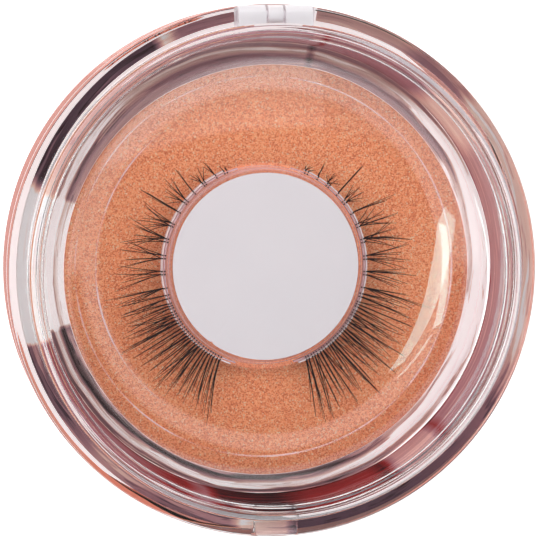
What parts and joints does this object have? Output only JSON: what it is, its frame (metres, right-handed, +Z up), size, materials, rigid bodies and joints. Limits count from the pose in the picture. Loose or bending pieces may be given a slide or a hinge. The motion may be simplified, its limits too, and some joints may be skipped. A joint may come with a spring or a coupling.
{
  "type": "eyelash case",
  "caption": "Round clear hinged case with a domed lid, a metallised liner, a glitter card and a tray whose boss holds a pair of strip lashes.",
  "frame": {"origin": "centre of the underside of the case, on the plane it rests on", "axes": "+Z up through the lid, +Y towards the hinge, +X to the right seen from above with the hinge at the top"},
  "size_m": [0.07, 0.07, 0.018],
  "materials": {
    "clear_plastic": "polished clear moulding",
    "clear_film": "thin clear thermoformed sheet",
    "rose_foil": "rose metallised film, wavy mirror",
    "copper_glitter": "fine copper glitter on card",
    "white_paper": "satin coated paper",
    "band_clear": "clear flexible band",
    "black_hair": "fine synthetic hair, soft sheen"
  },
  "bodies": {
    "base": {"base_shell": "clear_plastic", "rim_ring": "clear_plastic", "wall_liner": "rose_foil", "rim_foil": "rose_foil", "glitter_card": "copper_glitter", "lash_tray": "clear_film", "centre_label": "white_paper", "left_lash_band": "band_clear", "left_lash_hairs": "black_hair", "right_lash_band": "band_clear", "right_lash_hairs": "black_hair", "hinge_pin": "clear_plastic"},
    "lid": {"lid_shell": "clear_plastic"}
  },
  "joints": [
    {"name": "lid_hinge", "type": "hinge", "parent": "base", "child": "lid", "pos_m": [0, 0.0337, 0.0123], "axis": [-1, 0, 0], "range_deg": [0, 115]}
  ]
}
